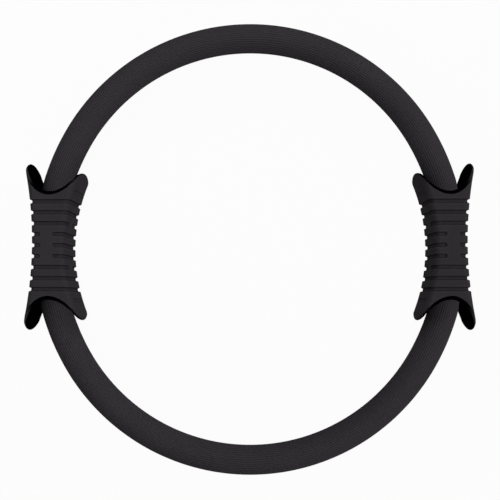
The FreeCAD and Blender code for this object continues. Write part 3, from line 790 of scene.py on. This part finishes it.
def groove_spans(row, width):
    """The stretches round half of the grip that a row of grooves covers, as start and end distances."""
    whole = 2 * FRONT_START + width
    to_panel = outer_face(np.array(row * GROOVE_PITCH)) - CORNER - MOUTH_CENTRE
    panel = FRONT_START + to_panel
    rim = HALF_DEPTH - GROOVE_END_MARGIN
    if abs(row) <= PANEL_ROW:
        return [(-FAR, panel - PANEL_TO_OUTER), (panel + PANEL_TO_INNER, whole + FAR)]
    if abs(row) == BLANK_ROW:
        return [(-FAR, whole - PAD_BLANK_HALF)]
    if abs(row) <= LAST_FULL_ROW:
        return [(-FAR, whole + FAR)]
    if abs(row) == LIP_ROW:
        return [(-FAR, rim), (whole - rim, whole + FAR)]
    return [(-FAR, rim)]


def groove_depth(along, v):
    """Grooves at distances round the grip and heights along it: how deep they are, as shares of the full
    depth, how near a point is to the middle of a groove's wall, which sets the painted shade there, and how
    worn the edges are."""
    depth = np.zeros(along.shape)
    wall = np.zeros(along.shape)
    wear = np.zeros(along.shape)
    for row in range(-LAST_ROW, LAST_ROW + 1):
        centre = row * GROOVE_PITCH
        for start, end in groove_spans(row, front_width(np.array(centre))):
            low = start + GROOVE_TOP_HALF
            high = end - GROOVE_TOP_HALF
            beyond = np.maximum(np.maximum(low - along, along - high), 0)
            distance = np.hypot(beyond, v - centre)
            share = LIP_GROOVE_SHARE if abs(row) > LAST_FULL_ROW else 1.0
            sunk = eased(-GROOVE_TOP_HALF, -GROOVE_FLOOR_HALF, -distance)
            depth = np.maximum(depth, share * sunk)
            wall = np.maximum(wall, share * 4 * sunk * (1 - sunk))
            near_edge = np.abs(distance - GROOVE_TOP_HALF - WEAR_OFFSET)
            wear = np.maximum(wear, 1 - eased(*WEAR_SPAN, near_edge))
    return depth, wall, wear


def grip_rows():
    """Heights along the grip for its rows of points: close together across each groove."""
    heights = set()
    for row in range(-LAST_ROW, LAST_ROW + 1):
        for offset in GROOVE_OFFSETS:
            heights.update((round(row * GROOVE_PITCH + offset, 4), round(row * GROOVE_PITCH - offset, 4)))
        for share in (-RIDGE_SHARE, RIDGE_SHARE, 0.5):
            heights.add(round((row + share) * GROOVE_PITCH, 4))
    lip_rows = np.linspace(LIP_ROWS_START, OUTER_LIP_REACH, LIP_ROWS).round(4)
    heights.update(lip_rows)
    heights.update(-lip_rows)
    return np.array(sorted(heights))


def trimmed_grid(heights, rims, offset):
    """A grid whose columns stop at a rim: the numbers of its points, their columns and heights, and its
    faces. Each column gives its points from its lower rim to its upper rim."""
    index = np.zeros((len(rims), len(heights)), int)
    keep = []
    number = offset
    for column, rim in enumerate(rims):
        inside = np.abs(heights) < rim - RIM_MARGIN
        first = int(np.argmax(inside))
        last = len(heights) - 1 - int(np.argmax(inside[::-1]))
        index[column, :first] = number
        keep.append((column, -rim))
        number += 1
        for row in range(first, last + 1):
            index[column, row] = number
            keep.append((column, heights[row]))
            number += 1
        index[column, last + 1 :] = number
        keep.append((column, rim))
        number += 1
    faces = []
    for column in range(len(rims)):
        other = (column + 1) % len(rims)
        for row in range(len(heights) - 1):
            loop = (index[column, row], index[other, row], index[other, row + 1], index[column, row + 1])
            corners = list(dict.fromkeys(int(i) for i in loop))
            if len(corners) > 2:
                faces.append(tuple(corners))
    kept_columns, kept_heights = (np.array(values) for values in zip(*keep))
    return index, kept_columns, kept_heights, faces


def grip_sleeve(name, across_side, materials):
    """Soft ribbed sleeve of a grip: outer skin with grooves, a rounded bead round each mouth, and an inside
    skin painted near-black as shade.
    """
    half = grip_columns()
    count = len(half[0])
    order = list(range(count)) + list(range(count - 2, 0, -1))
    signs = np.array([1.0] * count + [-1.0] * (count - 2))
    s, rim, turn, rise = (values[order] for values in half)
    at_front = eased(OUTER_FLAT_END - BEAD_EASE_PAD, FRONT_START + BEAD_EASE_FRONT, s)
    at_front = at_front - eased(FRONT_END - BEAD_EASE_FRONT, INNER_FLAT_START + BEAD_EASE_PAD, s)
    reach = LIP_ROUND + (BEAD_REACH - LIP_ROUND) * at_front
    thick = WALL + (BEAD_DEPTH - WALL) * at_front

    def placed(around, heights, inwards, flips):
        """Points of the sleeve, set inwards from its skin, on its front or its back."""
        place, normal, _ = grip_surface(around, heights)
        place = place - normal * inwards[:, None]
        return place * np.stack([np.ones_like(heights), np.ones_like(heights), flips], -1)

    skin_index, columns, heights, faces = trimmed_grid(grip_rows(), rim, 0)
    _, _, along = grip_surface(s[columns], heights)
    depth, groove_painted_shade, wear = groove_depth(along, heights)
    fade = eased(0.0, GROOVE_FADE, rim[columns] - np.abs(heights))
    points = placed(s[columns], heights, GROOVE_DEPTH * depth * fade, signs[columns])
    groove_painted_shade = groove_painted_shade * fade
    wear = wear * fade
    skin_faces = len(faces)

    inside_rows = np.linspace(-OUTER_LIP_REACH, OUTER_LIP_REACH, INSIDE_ROWS).round(3)
    inside_index, columns, heights, inside_faces = trimmed_grid(inside_rows, rim, len(points))
    bulge = eased(-BEAD_FADE, 0.0, np.abs(heights) - rim[columns])
    inwards = WALL + (thick[columns] - WALL) * bulge
    points = np.concatenate([points, placed(s[columns], heights, inwards, signs[columns])])
    faces += [tuple(reversed(face)) for face in inside_faces]

    lip_faces = len(faces)
    # share of near-black painted shade at each point: all of it on the inside skin, fading in round the bead
    painted_shade = np.zeros(len(points))
    outer_lip = 1 - eased(OUTER_FLAT_END, FRONT_START, s)
    inner_lip = eased(FRONT_END, INNER_FLAT_START, s)
    every = np.arange(len(order))
    for end in (1, -1):
        edge = -1 if end > 0 else 0
        skin_loop = skin_index[:, edge]
        inside_loop = inside_index[:, edge]
        painted_shade[skin_loop] = 1 - outer_lip - inner_lip
        painted_shade[inside_loop] = 1
        loops = [skin_loop]
        for step in range(1, BEAD_STEPS):
            angle = math.pi * step / BEAD_STEPS
            out = reach * math.sin(angle)
            inwards = thick * (1 - math.cos(angle)) / 2
            ring = placed(s + out * turn, end * (rim + out * rise), inwards, signs)
            loops.append(len(points) + every)
            skinned = outer_lip * (1 - eased(*OUTER_LIP_PAINTED_SHADE, step / BEAD_STEPS))
            skinned = skinned + inner_lip * (1 - eased(*INNER_LIP_PAINTED_SHADE, step / BEAD_STEPS))
            painted_shade = np.concatenate([painted_shade, 1 - skinned])
            points = np.concatenate([points, ring])
        loops.append(inside_loop)
        for one, two in zip(loops, loops[1:]):
            for i in range(len(every)):
                k = (i + 1) % len(every)
                faces.append((int(one[i]), int(one[k]), int(two[k]), int(two[i])))
    points = points * np.array((across_side, 1.0, 1.0))
    piece = new_piece(name, points, faces, materials)
    rest = np.zeros(len(points) - len(wear))
    wear = np.concatenate([wear, rest])
    groove_painted_shade = np.concatenate([groove_painted_shade, rest])
    # worn edges, then painted shade on the groove walls and inside the mouths
    for attribute_name, values in (("wear", wear), ("groove_painted_shade", groove_painted_shade), ("painted_shade", painted_shade)):
        piece.data.attributes.new(attribute_name, "FLOAT", "POINT").data.foreach_set("value", values)
    slots = np.full(len(faces), RIM_SLOT)
    slots[:skin_faces] = SKIN_SLOT
    slots[skin_faces:lip_faces] = PAINTED_SHADE_SLOT
    piece.data.polygons.foreach_set("material_index", slots)
    outward_faces(piece)
    return piece


# Pieces on their bodies

foam_rubber = foam_material()
grip_rubber = grip_material("grip_rubber", with_painted_shade=False)
rim_rubber = grip_material("rim_rubber", with_painted_shade=True)
# near-black painted shade over the inside of the grip sleeves
painted_shade_rubber = dark_rubber_material("painted_shade_rubber", PAINTED_SHADE_GREY, specular=0.0)
stop_rubber = dark_rubber_material("stop_rubber", STOP_GREY, specular=0.15)
clamp_plastic = clamp_material()
steel = steel_material()
glass_fibre = glass_fibre_material()

for half, side in (("upper", 1), ("lower", -1)):
    left = f"{half}_left"
    right = f"{half}_right"
    foam = half_foam(f"{half}_foam_sleeve", side, foam_rubber)
    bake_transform(foam)
    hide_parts(f"{left}_foam", f"{right}_foam")
    band = band_middle(f"{half}_band_spring", side, glass_fibre)
    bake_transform(band)
    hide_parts(f"{half}_band")
    for hand, across_side in (("left", -1), ("right", 1)):
        tail = band_tail(f"{half}_band_{hand}_end", across_side, side, glass_fibre)
        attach(tail, f"{hand}_grip")
        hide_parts(f"{half}_band")

for hand, across_side in (("left", -1), ("right", 1)):
    sleeve = grip_sleeve(f"{hand}_ribbed_sleeve", across_side, [grip_rubber, rim_rubber, painted_shade_rubber])
    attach(sleeve, f"{hand}_grip")
    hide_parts(f"{hand}_grip_sleeve")

CAD_FINISHES = {
    "clamp_screws": steel,
    "clamp_nuts": steel,
    "splice_plate": steel,
    "inner_clamp": clamp_plastic,
    "outer_clamp": clamp_plastic,
    "foam_stop": stop_rubber,
}
for node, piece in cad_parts.items():
    for ending, finish in CAD_FINISHES.items():
        if node.endswith(ending):
            piece.data.materials.clear()
            piece.data.materials.append(finish)

# Floor, light and camera


def soft_light(name, place, aim, width, power, shadow=True):
    """A square area light, in metres and watts."""
    lamp = bpy.data.lights.new(name, "AREA")
    lamp.size = width
    lamp.energy = power
    lamp.use_shadow = shadow
    light = bpy.data.objects.new(name, lamp)
    bpy.context.scene.collection.objects.link(light)
    light.location = place
    light.rotation_mode = "QUATERNION"
    light.rotation_quaternion = (Vector(aim) - Vector(place)).to_track_quat("-Z", "Y")


floor_points = [(x * FLOOR_HALF_SIZE, y * FLOOR_HALF_SIZE, cad_low.z / MM) for x, y in FLOOR_CORNERS]
floor = new_piece("floor", floor_points, [(0, 1, 2, 3)], [backdrop_material()])

# the key light casts no shadow, so that the foam beside the lips isn't darkened by it
soft_light("key", place=(1.5, 0, 0.9), aim=(0, 0, 0), width=0.8, power=20.5, shadow=False)
soft_light("fill", place=(0, 0, 2.2), aim=(0, 0, 0), width=0.8, power=9)
soft_light("top_fill", place=(0, 0.6, 0.4), aim=(0, 0, 0), width=0.4, power=1.8)
soft_light("side_fill", place=(-0.42, 0.1, 0.3), aim=(-0.14, 0.04, 0), width=0.4, power=0.7)
soft_light("low_fill", place=(0, -0.6, 0.4), aim=(0, 0, 0), width=0.4, power=1.0)

world = bpy.data.worlds.new("studio")
bpy.context.scene.world = world
world.use_nodes = True
sky = world.node_tree.nodes["Background"]
sky.inputs["Color"].default_value = (1, 1, 1, 1)
directly = seen_directly(world.node_tree)
strength = spread(world.node_tree, directly, low=STUDIO_LEVEL, high=1.0, start=0.0, end=1.0)
world.node_tree.links.new(strength, sky.inputs["Strength"])

camera_data = bpy.data.cameras.new("camera")
camera_data.lens = CAMERA_LENS
camera_data.sensor_width = SENSOR
camera_data.sensor_fit = "HORIZONTAL"
camera = bpy.data.objects.new("camera", camera_data)
bpy.context.scene.collection.objects.link(camera)
camera.location = Vector(CAMERA_PLACE) * MM
ahead = (Vector(CAMERA_AIM) - Vector(CAMERA_PLACE)).normalized()
to_right = ahead.cross(Vector((0, 1, 0))).normalized()
camera.rotation_euler = Matrix((to_right, to_right.cross(ahead), -ahead)).transposed().to_euler()
bpy.context.scene.camera = camera
bpy.context.scene.view_settings.view_transform = "Standard"
